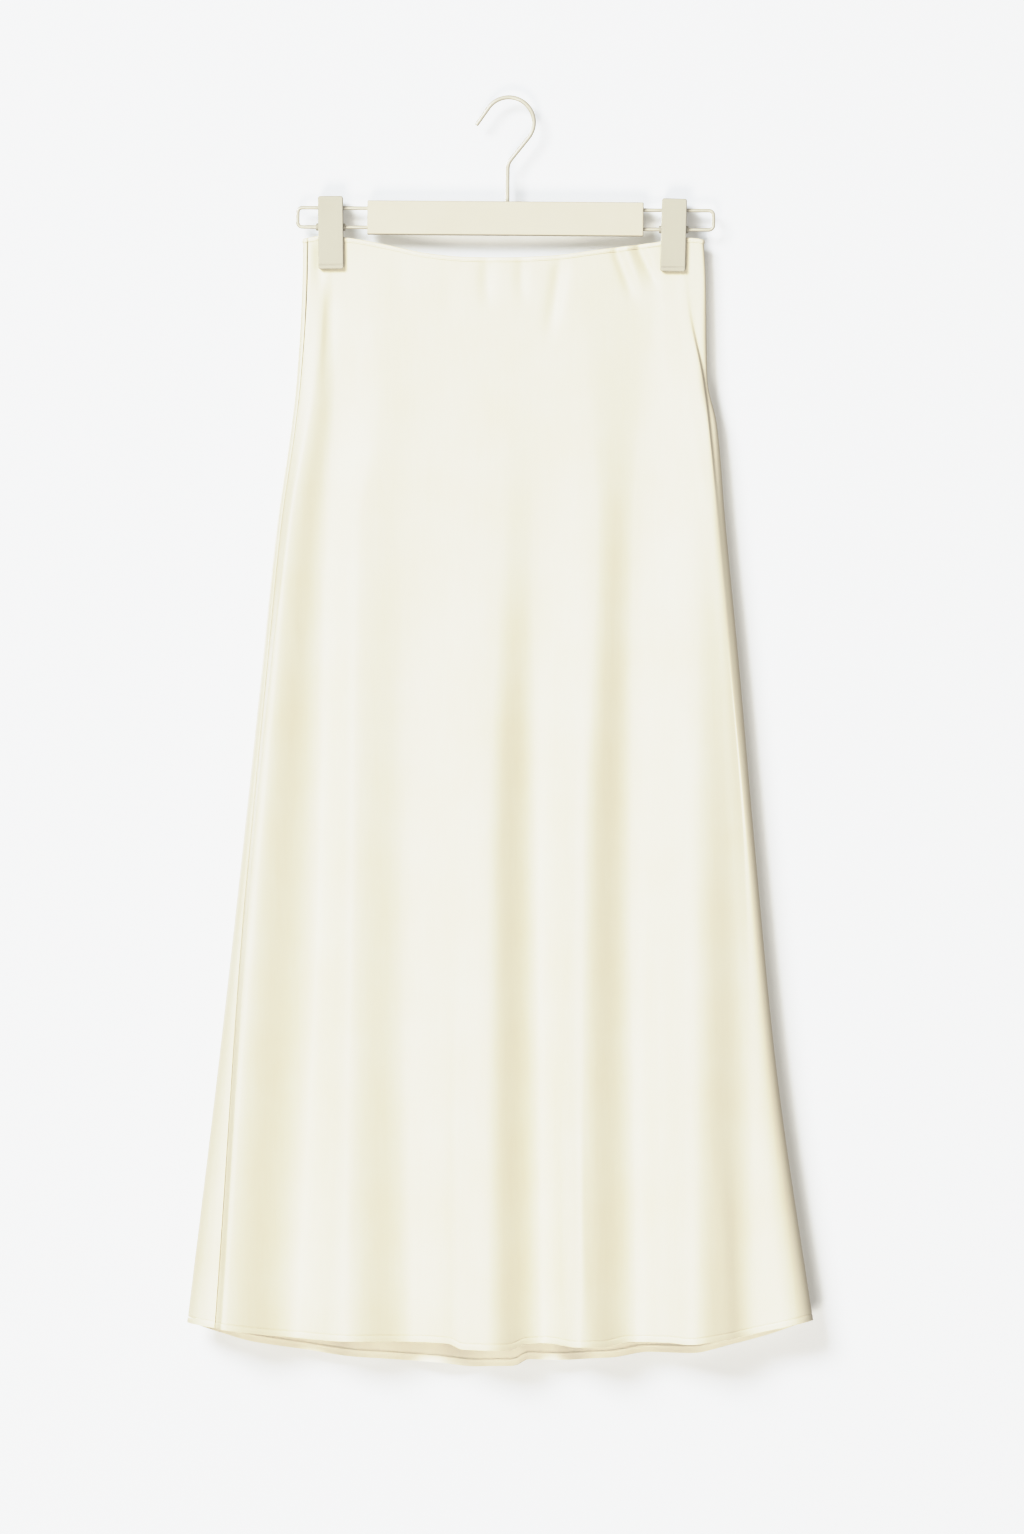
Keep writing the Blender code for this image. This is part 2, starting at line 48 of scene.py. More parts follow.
# How far down each level section is, its left and right outline, how far the front and the back
# stand out from the middle plane, and how long the sides round off. A drop is a depth below the
# origin. All in mm.
Section = namedtuple("Section", "drop left right front back rounding")
SECTIONS = [
    Section(108, -165.0, 155.5, 2.4, 2.4, 2.4),
    Section(140, -165.5, 157.5, 2.4, 2.4, 2.6),
    Section(225, -170.5, 159.0, 7.5, 5.5, 8.0),
    Section(260, -174.5, 166.5, 9.0, 6.5, 9.0),
    Section(340, -186.0, 173.5, 12.0, 9.0, 11.0),
    Section(450, -197.5, 184.0, 14.5, 11.0, 13.5),
    Section(610, -214.5, 198.0, 18.0, 12.5, 17.0),
    Section(770, -232.5, 213.5, 21.0, 14.0, 22.0),
    Section(985, -258.5, 244.5, 24.0, 16.0, 28.0),
]

# The long folds: the place across and the height out of the section, at each of these drops.
FOLD_DROPS = (108, 160, 230, 340, 610, 985)
Fold = namedtuple("Fold", "name across out columns")
FRONT_FOLDS = [
    Fold("left crest", (-152, -150, -156, -175, -205, -229), (0, 0.5, 2.5, 5.5, 10.5, 11), 14),
    Fold("left valley", (-142, -140, -139, -147, -153, -172), (0, -1.2, -3.2, -5.2, -11, -12.5), 16),
    Fold("second crest", (-118, -108, -100, -118, -124, -128), (0, 0.3, 0.4, 1.2, 5, 10), 18),
    Fold("second valley", (-84, -80, -76, -84, -84, -78), (1, 0.5, 0, -1, -4.5, -8), 34),
    Fold("centre crest", (-3, -3, -3, -5, -16, -16), (3, 2.2, 1.2, 2, 10.5, 12), 16),
    Fold("centre valley", (20, 20, 20, 20, 22, 26), (3, 2, 1.4, -0.6, -9.5, -9.5), 14),
    Fold("fourth crest", (50, 53, 62, 70, 60, 57), (2, 2.4, 2.4, 4, 9.5, 11.5), 30),
    Fold("fourth valley", (112, 115, 108, 100, 98, 102), (0, -1.3, -3.2, -5, -8.5, -10), 14),
    Fold("right crest", (122, 126, 134, 152, 150, 150), (0, -0.7, -0.3, 2, 8, 12), 14),
    Fold("right valley", (132, 134, 145, 162, 188, 196), (0, -0.4, 1, 2.4, -4, -8), 8),
    Fold("side crease edge", (138, 142, 156, 167, 192, 226), (0, 0.1, 2.0, 2.2, -2, -3), 5),
    Fold("side crease foot", (142, 145.5, 157.5, 170, 195, 232), (0, -0.3, -2.4, 0.8, -1, -2), 8),
]
BACK_FOLDS = [
    Fold("back right valley", (140, 143, 146, 156, 178, 200), (0, 0, -0.5, -1.5, -3, -4), 8),
    Fold("back right crest", (125, 127, 130, 137, 148, 160), (0, 0, 1, 2, 5, 7), 12),
    Fold("back fourth valley", (95, 97, 100, 104, 110, 115), (0.5, 0, -1, -2, -4, -7), 12),
    Fold("back fourth crest", (65, 66, 67, 68, 70, 70), (1.2, 0.8, 0.8, 2, 6, 10), 12),
    Fold("back centre valley", (30, 30, 31, 32, 34, 35), (2.5, 1.8, 0.5, -1, -5, -9), 14),
    Fold("back centre crest", (-10, -10, -11, -13, -15, -15), (3, 2.2, 1.2, 2, 6, 11), 14),
    Fold("back second valley", (-50, -50, -50, -52, -55, -58), (2, 1.2, 0.3, -1, -4, -7), 14),
    Fold("back second crest", (-95, -95, -96, -98, -102, -105), (0.6, 0.4, 0.8, 1.5, 4, 9), 12),
    Fold("back left valley", (-130, -130, -130, -135, -145, -155), (0, 0, -0.8, -2, -4, -7), 10),
    Fold("back left crest", (-150, -150, -155, -165, -185, -200), (0, 0, 1, 2, 5, 8), 12),
]
LEFT_SEAM_INSET = (4.0, 4.0, 3.5, 3.5, 5.6, 23.0)
RIGHT_SEAM_INSET = (4.0, 4.0, 4.0, 5.0, 8.0, 16.0)
SEAM_COLUMNS = 7

# The edges: place across and drop.
WAIST_EDGE = [
    (-166, 112.0), (-150, 109.5), (-130, 111.0), (-100, 116.5), (-66, 123.6), (-34, 126.6),
    (-4, 127.0), (30, 125.7), (76, 120.0), (122, 114.0), (142, 111.0), (150, 111.5), (158, 113.0),
]
FRONT_HEM_EDGE = [
    (-258, 980.0), (-222, 985.5), (-189, 990.0), (-142, 993.5), (-90, 994.5), (-48, 996.0),
    (-36, 1000.5), (0, 1001.0), (14, 996.5), (30, 996.0), (54, 998.5), (76, 998.5),
    (96, 995.0), (128, 995.0), (142, 996.5), (170, 993.5), (202, 987.0), (244, 978.0),
]
BACK_HEM_EDGE = [
    (-258, 980.0), (-230, 989.5), (-206, 996.5), (-164, 1002.0), (-119, 1009.0), (-58, 1012.5),
    (-25, 1016.5), (3, 1016.0), (16, 1010.0), (45, 1010.5), (80, 1009.5), (112, 1004.0),
    (148, 1005.5), (180, 998.0), (212, 989.0), (244, 978.0),
]
WAIST_DROP, HEM_DROP = 114.0, 990.0
BINDING_HEIGHT = 3.2
SEAM_GAP = 0.3
SATIN_THICK = 0.5

# The hem's line of stitches is this high above its edge, and the groove that it sinks is this deep
# and this wide to each side. The turned cloth is a little fuller below it. The turns end inside.
STITCH_HEIGHT = 5.0
GROOVE_DEPTH, GROOVE_HALF = 0.35, 0.45
FULLNESS, FULLNESS_HEIGHT, FULLNESS_HALF = 0.18, 2.4, 1.5
HEM_TURN_THICK, HEM_TURN_TOP, HEM_TURN_SOFT = 0.6, 6.0, 0.25
# How far a seam edge moves towards its own panel and how far it rolls in.
SEAM_DRAW, SEAM_ROLL = 0.2, 0.45

# Small creases in the cloth: the line that each follows as (across, drop) points, how far it
# stands out or sinks in, its half width, and the share of its length that each end fades over.
Crease = namedtuple("Crease", "line out half fade_in fade_out")
FRONT_CREASES = [
    # Narrow pleats that run down into the hem.
    Crease([(-40, 600), (-42, 760), (-43, 1000)], 1.5, 6.0, 0.5, 0.0),
    Crease([(40, 740), (43, 860), (45, 1000)], 1.2, 4.5, 0.5, 0.25),
    Crease([(55, 770), (57, 860), (60, 1000)], 0.9, 4.0, 0.5, 0.3),
    Crease([(116, 560), (117, 760), (119, 996)], 1.5, 6.0, 0.5, 0.0),
    Crease([(-75, 700), (-72, 850), (-70, 994)], 0.8, 8.0, 0.6, 0.0),
    Crease([(-128, 800), (-136, 900), (-142, 992)], 0.9, 9.0, 0.6, 0.0),
    Crease([(168, 820), (172, 900), (176, 990)], 0.9, 7.0, 0.6, 0.0),
    # Dimples where the waist dips between the clips.
    Crease([(-17, 124), (-18, 146), (-16, 172)], -2.0, 5.5, 0.25, 0.6),
    Crease([(11, 124), (10, 146), (13, 170)], -1.8, 5.5, 0.25, 0.6),
    Crease([(42, 124), (38, 152), (30, 200)], -2.8, 5.5, 0.2, 0.55),
    Crease([(-48, 122), (-47, 158), (-44, 200)], -0.6, 9.0, 0.3, 0.7),
    Crease([(-85, 118), (-86, 150), (-82, 190)], -0.5, 8.0, 0.3, 0.7),
    # Pulls that run from the clips into the cloth.
    Crease([(84, 117), (92, 138), (102, 168)], -2.6, 4.0, 0.15, 0.6),
    Crease([(92, 115), (100, 135), (111, 162)], 1.6, 3.6, 0.15, 0.6),
    Crease([(101, 113), (109, 130), (121, 156)], -3.0, 4.0, 0.15, 0.6),
    Crease([(-152, 112), (-152, 134), (-150, 162)], -2.0, 5.0, 0.2, 0.6),
    Crease([(-143, 146), (-145, 190), (-150, 250)], -1.9, 5.5, 0.25, 0.7),
    # One faint crossing crease on the left, from folding.
    Crease([(-176, 404), (-171, 428), (-167, 458)], 0.35, 2.5, 0.4, 0.5),
]
BACK_CREASES = [
    Crease([(-120, 620), (-124, 800), (-128, 1005)], 1.3, 6.5, 0.5, 0.0),
    Crease([(12, 640), (10, 800), (8, 1014)], 1.2, 6.0, 0.5, 0.0),
    Crease([(92, 700), (94, 850), (95, 1006)], 1.0, 5.5, 0.5, 0.0),
    Crease([(-30, 126), (-32, 150), (-30, 184)], -0.9, 6.0, 0.3, 0.6),
    Crease([(26, 126), (24, 148), (27, 176)], -0.8, 5.0, 0.3, 0.6),
    Crease([(-72, 122), (-76, 150), (-80, 196)], -0.7, 7.0, 0.3, 0.7),
    Crease([(84, 120), (90, 140), (99, 168)], -0.8, 5.0, 0.25, 0.6),
    Crease([(-122, 116), (-114, 136), (-104, 164)], -0.8, 5.0, 0.25, 0.6),
    Crease([(146, 140), (148, 180), (150, 240)], -0.7, 5.0, 0.3, 0.7),
]


def smooth(places, values, at):
    """Values at some places on a smooth curve through a table, with no overshoot."""
    places = np.asarray(places, float)
    values = np.asarray(values, float)
    steps = np.diff(places)
    rises = np.diff(values) / steps
    slopes = np.zeros(len(values))
    slopes[0], slopes[-1] = rises[0], rises[-1]
    for i in range(1, len(rises)):
        if rises[i - 1] * rises[i] > 0:
            before, after = 2 * steps[i] + steps[i - 1], steps[i] + 2 * steps[i - 1]
            slopes[i] = (before + after) / (before / rises[i - 1] + after / rises[i])
    at = np.clip(at, places[0], places[-1])
    i = np.clip(np.searchsorted(places, at, side="right") - 1, 0, len(steps) - 1)
    t = (at - places[i]) / steps[i]
    return ((2 * t**3 - 3 * t**2 + 1) * values[i] + (t**3 - 2 * t**2 + t) * steps[i] * slopes[i]
            + (3 * t**2 - 2 * t**3) * values[i + 1] + (t**3 - t**2) * steps[i] * slopes[i + 1])


def section_value(column, drops):
    return smooth([s.drop for s in SECTIONS], [getattr(s, column) for s in SECTIONS], drops)


def edge_drop(edge, across):
    return smooth([point[0] for point in edge], [point[1] for point in edge], across)


def side_line(side, seam):
    """The line of a seam, or of the outline where seam is None, as a place across at each drop."""
    sign = 1 if side == "left" else -1

    def across(drops):
        inset = 0.0 if seam is None else smooth(FOLD_DROPS, seam, drops)
        return section_value(side, drops) + sign * inset

    return across


def fold_line(fold):
    return lambda drops: smooth(FOLD_DROPS, fold.across, drops)


def fold_out(fold):
    return lambda drops: smooth(FOLD_DROPS, fold.out, drops)


def flat_out(drops):
    return np.zeros_like(drops)


# Every line once round the skirt: its place across, its height, its columns to the next line, and
# whether it is a fold, a seam or the outline itself.
Line = namedtuple("Line", "across out columns kind")
LINES = [Line(side_line("left", LEFT_SEAM_INSET), flat_out, SEAM_COLUMNS, "seam")]
LINES += [Line(fold_line(f), fold_out(f), f.columns, "fold") for f in FRONT_FOLDS]
RIGHT_OUTLINE = len(LINES)
LINES += [Line(side_line("right", None), flat_out, SEAM_COLUMNS, "outline")]
LINES += [Line(side_line("right", RIGHT_SEAM_INSET), flat_out, SEAM_COLUMNS, "seam")]
LINES += [Line(fold_line(f), fold_out(f), f.columns, "fold") for f in BACK_FOLDS]
LINES += [Line(side_line("left", None), flat_out, SEAM_COLUMNS, "outline")]


def rise_between(line, after, drops):
    """How steeply the cloth stands out from one line to the next, and the way between them."""
    way = np.maximum(np.abs(after.across(drops) - line.across(drops)), 0.3)
    return (after.out(drops) - line.out(drops)) / way, way


def line_slope(before, line, after, drops):
    """The cloth's slope at a line: level on a crest or in a valley, and even part way up."""
    if line.kind != "fold":
        return np.zeros_like(drops)
    rise, way = rise_between(before, line, drops)
    next_rise, next_way = rise_between(line, after, drops)
    first, second = 2 * next_way + way, next_way + 2 * way
    with np.errstate(divide="ignore", invalid="ignore"):
        slope = (first + second) / (first / rise + second / next_rise)
    return np.where(rise * next_rise > 0, slope, 0.0)


def fold_height(i, part, drops):
    """How far the cloth stands out of its section, a part of the way past line i."""
    before, line, after, last = (LINES[(i + k) % len(LINES)] for k in (-1, 0, 1, 2))
    way = rise_between(line, after, drops)[1]
    slope = line_slope(before, line, after, drops) * way
    next_slope = line_slope(line, after, last, drops) * way
    return ((2 * part**3 - 3 * part**2 + 1) * line.out(drops) + (part**3 - 2 * part**2 + part) * slope
            + (3 * part**2 - 2 * part**3) * after.out(drops) + (part**3 - part**2) * next_slope)


def row_levels():
    """Levels from the waist, 0, to the hem, 1, closer near the waist and through the hem."""
    length = HEM_DROP - WAIST_DROP
    hem = [9.0, 7.4, 6.6, 6.1, 5.7, 5.3, 5.0, 4.7, 4.3, 3.9, 3.3, 2.2, 1.1, 0.4, 0.0]
    rows_above, crowding, hem_zone = 112, 1.25, 12
    top = [(i / rows_above) ** crowding * (1 - hem_zone / length) for i in range(rows_above + 1)]
    return np.array(top + [1 - height / length for height in hem])


def column_points(i, part, is_front, levels):
    """Points down the skirt, a part of the way from line i to the next."""
    line, after = LINES[i], LINES[(i + 1) % len(LINES)]
    hem = FRONT_HEM_EDGE if is_front else BACK_HEM_EDGE

    def across(drops):
        here, there = line.across(drops), after.across(drops)
        if line.kind == "outline":
            return here + (there - here) * (1 - math.cos(part * math.pi / 2))
        if after.kind == "outline":
            return here + (there - here) * math.sin(part * math.pi / 2)
        return here + (there - here) * part

    top = edge_drop(WAIST_EDGE, across(np.array([WAIST_DROP]))) + BINDING_HEIGHT + SEAM_GAP
    bottom = edge_drop(hem, across(np.array([HEM_DROP])))
    drops = top + (bottom - top) * levels
    x = across(drops)
    from_side = np.minimum(x - section_value("left", drops), section_value("right", drops) - x)
    turn = np.clip(1 - from_side / section_value("rounding", drops), 0, 1)
    depth = section_value("front" if is_front else "back", drops)
    y = (depth + fold_height(i, part, drops)) * np.sqrt(1 - turn**2)
    return np.stack([x, -y if is_front else y, -drops], axis=1)


def skirt_ring():
    """The cloth's outer points, by column and row, the side of each column, and the two seams."""
    levels = row_levels()
    columns, fronts, starts = [], [], []
    for i, line in enumerate(LINES):
        starts.append(len(columns))
        is_front = i < RIGHT_OUTLINE or i == len(LINES) - 1
        for step in range(line.columns):
            columns.append(column_points(i, step / line.columns, is_front, levels))
            fronts.append(is_front)
    return np.array(columns), np.array(fronts), starts[0], starts[RIGHT_OUTLINE + 1]


def unit(vectors):
    return vectors / np.linalg.norm(vectors, axis=-1, keepdims=True)


def surface_frame(ring):
    """Unit vectors along the ring and out of the cloth at every point."""
    before = unit(ring - np.roll(ring, 1, axis=0))
    after = unit(np.roll(ring, -1, axis=0) - ring)
    along = unit(before + after)
    return along, unit(np.cross(unit(np.gradient(ring, axis=1)), along))


def crease_push(creases, points):
    """How far the small creases move each point out of the cloth."""
    across, drops = points[..., 0], -points[..., 2]
    push = np.zeros(across.shape)
    for crease in creases:
        places = [drop for _, drop in crease.line]
        centre = smooth(places, [x for x, _ in crease.line], drops)
        share = (drops - places[0]) / (places[-1] - places[0])
        start = np.clip(share / crease.fade_in, 0, 1)
        end = np.clip((1 - share) / crease.fade_out, 0, 1) if crease.fade_out else 1.0
        fade = start**2 * (3 - 2 * start) * (end**2 * (3 - 2 * end))
        push += crease.out * fade * np.exp(-(((across - centre) / crease.half) ** 2))
    return push


def grown_cloth(ring, fronts):
    """The ring with its creases, its hem's stitched groove and the fuller cloth below that groove."""
    along, out = surface_frame(ring)
    push = np.where(fronts[:, None], crease_push(FRONT_CREASES, ring), crease_push(BACK_CREASES, ring))
    edge = -ring[:, -1:, 2]
    height = edge + ring[..., 2]
    groove = -GROOVE_DEPTH * np.exp(-(((height - STITCH_HEIGHT) / GROOVE_HALF) ** 2))
    push += groove + FULLNESS * np.exp(-(((height - FULLNESS_HEIGHT) / FULLNESS_HALF) ** 2))
    ring = ring + out * push[..., None]
    along, out = surface_frame(ring)
    return ring, along, out


def panel_part(ring, first, last):
    """The points of the panel from one seam to the next, and its columns in the ring."""
    picks = [(first + i) % len(ring) for i in range((last - first) % len(ring) + 1)]
    return ring[picks].copy(), picks


def shell(name, outer, inner, face_material, back_material):
    """A closed thin wall between two grids of points with the same columns and rows, in mm."""
    columns, rows = outer.shape[:2]
    mesh = bpy.data.meshes.new(name)
    points = np.concatenate([outer.reshape(-1, 3), inner.reshape(-1, 3)]) * MM
    index = np.arange(columns * rows).reshape(columns, rows)
    quads = np.stack([index[:-1, :-1], index[:-1, 1:], index[1:, 1:], index[1:, :-1]], axis=-1)
    face = quads.reshape(-1, 4)
    back = (quads[..., ::-1] + columns * rows).reshape(-1, 4)
    rim = [index[:, 0], index[-1, :], index[::-1, -1], index[0, ::-1]]
    around = np.concatenate([part[:-1] for part in rim])
    after = np.roll(around, -1)
    sides = np.stack([around, after, after + columns * rows, around + columns * rows], axis=-1)
    faces = np.concatenate([face, back, sides])
    mesh.from_pydata(points.tolist(), [], faces.tolist())
    mesh.materials.append(face_material)
    mesh.materials.append(back_material)
    slots = np.zeros(len(faces), int)
    slots[len(face):len(face) + len(back)] = 1
    mesh.polygons.foreach_set("material_index", slots)
    mesh.shade_smooth()
    mesh.set_sharp_from_angle(angle=math.radians(60))
    mesh.update()
    made = bpy.data.objects.new(name, mesh)
    bpy.context.scene.collection.objects.link(made)
    return made


def from_hex(code):
    """An sRGB hex colour as the linear RGBA that a shader takes."""
    parts = [int(code[i:i + 2], 16) / 255 for i in (1, 3, 5)]
    return (*[c / 12.92 if c <= 0.04045 else ((c + 0.055) / 1.055) ** 2.4 for c in parts], 1.0)


def add_node(tree, kind, settings=None, links=None):
    """A node with its settings, by attribute or input, and its inputs' links, by input."""
    made = tree.nodes.new(kind)
    for name, value in (settings or {}).items():
        if isinstance(name, str) and hasattr(made, name):
            setattr(made, name, value)
        else:
            made.inputs[name].default_value = value
    for name, source in (links or {}).items():
        tree.links.new(source, made.inputs[name])
    return made


def new_material(name):
    """A named material with no nodes yet, and its node tree."""
    made = bpy.data.materials.new(name)
    made.use_nodes = True
    made.node_tree.nodes.clear()
    return made, made.node_tree


def satin(name, light, deep, roughness, sheen, specular):
    """Woven satin. Its floats lie in one direction, so it shines softly and shows no thread."""
    made, tree = new_material(name)
    place = add_node(tree, "ShaderNodeTexCoord").outputs["Object"]
    # Broad clouding of the dye, 60 mm across, and the yarn's fine unevenness, 3 mm by 40 mm.
    cloud = add_node(tree, "ShaderNodeTexNoise", {"Scale": 1 / 0.06, "Detail": 3.0}, {"Vector": place})
    stretch = add_node(tree, "ShaderNodeMapping", {"Scale": (1 / 0.003, 1 / 0.003, 1 / 0.04)},
                       {"Vector": place})
    yarn = add_node(tree, "ShaderNodeTexNoise", {"Scale": 1.0, "Detail": 2.0},
                    {"Vector": stretch.outputs[0]})
    both = add_node(tree, "ShaderNodeMath", {"operation": "MULTIPLY_ADD", 1: 0.35},
                    {0: yarn.outputs[0], 2: cloud.outputs[0]})
    tone = add_node(tree, "ShaderNodeMapRange", {"From Min": 0.45, "From Max": 0.95},
                    {"Value": both.outputs[0]})
    colour = add_node(tree, "ShaderNodeMix", {"data_type": "RGBA", 6: from_hex(light), 7: from_hex(deep)},
                      {0: tone.outputs[0]})
    rough = add_node(tree, "ShaderNodeMapRange",
                     {"To Min": roughness - 0.03, "To Max": roughness + 0.04}, {"Value": both.outputs[0]})
    # Satin floats are 0.1 mm apart on the bias. Drawn 0.8 mm apart so that they show.
    twill = add_node(tree, "ShaderNodeMapping",
                     {"Rotation": (0, math.radians(45), 0), "Scale": (1 / 0.0008,) * 3}, {"Vector": place})
    floats = add_node(tree, "ShaderNodeTexWave",
                      {"Scale": 1 / 20 * math.pi, "Distortion": 1.6, "Detail": 2.0},
                      {"Vector": twill.outputs[0]})
    bump = add_node(tree, "ShaderNodeBump", {"Strength": 0.06, "Distance": 0.00006},
                    {"Height": floats.outputs["Fac"]})
    shader = add_node(tree, "ShaderNodeBsdfPrincipled",
                      {"Sheen Weight": sheen, "Sheen Roughness": 0.45, "Specular IOR Level": specular,
                       "Sheen Tint": from_hex("#FFFBEF")},
                      {"Base Color": colour.outputs[2], "Roughness": rough.outputs[0],
                       "Normal": bump.outputs[0]})
    add_node(tree, "ShaderNodeOutputMaterial", links={"Surface": shader.outputs[0]})
    return made


satin_face = satin("polyester satin, shiny side", "#E1DCCA", "#DED7C3", 0.48, 0.2, 0.5)
# The dull side is rougher and has less sheen. Its much lighter colour is painted light: it stands in for
# the light that comes through the thin cloth and off the wall into the hem.
satin_back_painted_light = satin("polyester satin, dull side, painted light", "#FFFBEE", "#FDF7E8", 0.6, 0.15, 0.3)

ring, fronts, left_seam, right_seam = skirt_ring()
ring, along, outward = grown_cloth(ring, fronts)
height = ring[..., 2] - ring[:, -1:, 2]
# The hem is two turns of cloth inside, so the wall is thicker there.
wall = SATIN_THICK + HEM_TURN_THICK / (1 + np.exp((height - HEM_TURN_TOP) / HEM_TURN_SOFT))


def make_panel(name, first, last, node):
    points, picks = panel_part(ring, first, last)
    inner = points - outward[picks] * wall[picks][..., None]
    # Seam edges roll in and leave the fine line between the panels.
    for column, sign in ((0, 1), (-1, -1)):
        shift = along[picks[column]] * sign * SEAM_DRAW - outward[picks[column]] * SEAM_ROLL
        points[column] += shift
        inner[column] += shift
    made = shell(name, points, inner, satin_face, satin_back_painted_light)
    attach(made, "root")
    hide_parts(node)
    return made, points, picks


front_satin, front_points, front_picks = make_panel("front_satin", left_seam, right_seam, "front_panel")
back_satin, back_points, back_picks = make_panel("back_satin", right_seam, left_seam, "back_panel")


# The waist edge: a narrow strip of the same satin, folded over the raw top edge of the panels and
# stitched along its lower side, so it stands as a slim rounded cord.
def ring_stack(name, rings, finish, node):
    """A closed piece through a row of rings of points, in mm, with its two ends filled."""
    count, turns = rings.shape[:2]
    index = np.arange(count * turns).reshape(count, turns)
    nexts = np.roll(index, -1, axis=1)
    quads = np.stack([index[:-1], nexts[:-1], nexts[1:], index[1:]], axis=-1).reshape(-1, 4)
    mesh = bpy.data.meshes.new(name)
    mesh.from_pydata((rings.reshape(-1, 3) * MM).tolist(), [],
                     quads.tolist() + [index[0][::-1].tolist(), index[-1].tolist()])
    bm = bmesh.new()
    bm.from_mesh(mesh)
    bmesh.ops.recalc_face_normals(bm, faces=bm.faces)
    bm.to_mesh(mesh)
    bm.free()
    mesh.materials.append(finish)
    mesh.shade_smooth()
    mesh.set_sharp_from_angle(angle=math.radians(40))
    made = bpy.data.objects.new(name, mesh)
    bpy.context.scene.collection.objects.link(made)
    made.modifiers.new("flat faces shade flat", "WEIGHTED_NORMAL").keep_sharp = True
    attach(made, "root")
    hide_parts(node)
    return made


# The cord's section: how far out of the panel's face each point stands, and how high.
CORD_SECTION = [
    (0.42, -0.2), (0.62, 0.3), (0.7, 1.2), (0.66, 2.2), (0.42, 3.0), (-0.05, 3.35),
    (-0.6, 3.1), (-0.9, 2.3), (-0.95, 1.2), (-0.85, 0.2), (-0.3, -0.2),
]
# Its colour is painted a touch lighter than the panels' satin: a painted highlight for the bright line that
# the rounded edge catches.
edge_satin_painted_light = satin("polyester satin, folded edge, painted light", "#E6E0CE", "#E2DBC8", 0.45, 0.2, 0.5)


def make_binding(name, points, picks, node):
    foot, out = points[:, 0], outward[picks, 0]
    loops = [foot + out * side + np.array([0, 0, SEAM_GAP + rise]) for side, rise in CORD_SECTION]
    return ring_stack(name, np.stack(loops, axis=1), edge_satin_painted_light, node)


front_binding = make_binding("front_waist_edge", front_points, front_picks, "front_waist_binding")
back_binding = make_binding("back_waist_edge", back_points, back_picks, "back_waist_binding")

# The sewing: one line of lockstitch in matching polyester thread along each turned hem, and one
# along the foot of each waist edge.
thread, tree = new_material("polyester thread, spun")
place = add_node(tree, "ShaderNodeTexCoord").outputs["Object"]
# The thread's two strands are 0.3 mm apart, and each turn is painted a little darker in the groove between
# the strands: painted shade.
painted_ply_shade = add_node(tree, "ShaderNodeTexWave", {"Scale": 1 / 0.0003 / 20 * math.pi, "Distortion": 0.5},
                 {"Vector": place})
colour = add_node(tree, "ShaderNodeMix",
                  {"data_type": "RGBA", 6: from_hex("#D9D0B8"), 7: from_hex("#E6DFCB")},
                  {0: painted_ply_shade.outputs["Fac"]})
shader = add_node(tree, "ShaderNodeBsdfPrincipled",
                  {"Roughness": 0.6, "Specular IOR Level": 0.35, "Sheen Weight": 0.2},
                  {"Base Color": colour.outputs[2]})
add_node(tree, "ShaderNodeOutputMaterial", links={"Surface": shader.outputs[0]})
STITCH_PITCH = 2.6
STITCH_LONG = 2.2
THREAD_THICK = 0.28
THREAD_SIDES = 5
# Along one stitch: the share of its length, how high it stands, and how thick it is there.
STITCH_SHAPE = [(0.0, -0.12, 0.5), (0.2, 0.08, 0.9), (0.5, 0.12, 1.0), (0.8, 0.08, 0.9), (1.0, -0.12, 0.5)]


def stitch_line(name, path, out):
    """Stitches laid along a path on the cloth: each one is a short thread that dips at its ends."""
    way = np.concatenate([[0], np.cumsum(np.linalg.norm(np.diff(path, axis=0), axis=1))])
    starts = np.arange(STITCH_PITCH, way[-1] - STITCH_PITCH, STITCH_PITCH)
    points, faces = [], []
    for begin in starts:
        first = len(points)
        for share, rise, size in STITCH_SHAPE:
            at = begin + share * STITCH_LONG
            centre = np.array([np.interp(at, way, path[:, k]) for k in range(3)])
            up = np.array([np.interp(at, way, out[:, k]) for k in range(3)])
            for turn in range(THREAD_SIDES):
                angle = turn * math.tau / THREAD_SIDES
                radius = THREAD_THICK / 2 * size
                points.append(centre + up * (rise + radius * math.cos(angle))
                              + np.array([0, 0, radius * math.sin(angle)]))
        last = len(points) - THREAD_SIDES
        for here in range(first, last, THREAD_SIDES):
            there = here + THREAD_SIDES
            for turn in range(THREAD_SIDES):
                side = (turn + 1) % THREAD_SIDES
                faces.append((here + turn, here + side, there + side, there + turn))
        faces.append(tuple(range(first + THREAD_SIDES - 1, first - 1, -1)))
        faces.append(tuple(range(last, last + THREAD_SIDES)))
    mesh = bpy.data.meshes.new(name)
    mesh.from_pydata((np.array(points) * MM).tolist(), [], faces)
    mesh.materials.append(thread)
    mesh.shade_smooth()
    made = bpy.data.objects.new(name, mesh)
    bpy.context.scene.collection.objects.link(made)
    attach(made, "root")


stitch_row = int(np.argmin(np.abs(height[0] - STITCH_HEIGHT)))
# The waist stitches lie on the cord's face, a little above its foot. None is sewn into a seam.
CORD_FACE, CORD_STITCH_RISE = 0.66, 0.8
for side, points, picks in (("front", front_points, front_picks), ("back", back_points, back_picks)):
    inner_picks = slice(3, -3)
    out = outward[picks]
    stitch_line(side + "_hem_stitches", points[inner_picks, stitch_row], out[inner_picks, stitch_row])
    cord_foot = points[:, 0] + out[:, 0] * CORD_FACE + np.array([0, 0, SEAM_GAP + CORD_STITCH_RISE])
    stitch_line(side + "_waist_stitches", cord_foot[inner_picks], out[inner_picks, 0])

# The hanger's block: a flat bar of moulded ABS with a fine matt grain and softened edges, which
# holds the ends of the hook and of both wire rails in sockets. Its face is bare.
HANGER_TILT_DEG = 0.42
BLOCK_LEFT, BLOCK_RIGHT = -112.8, 108.4
BLOCK_TOP, BLOCK_BOTTOM = 82.0, 109.0
BLOCK_THICK = 12.0


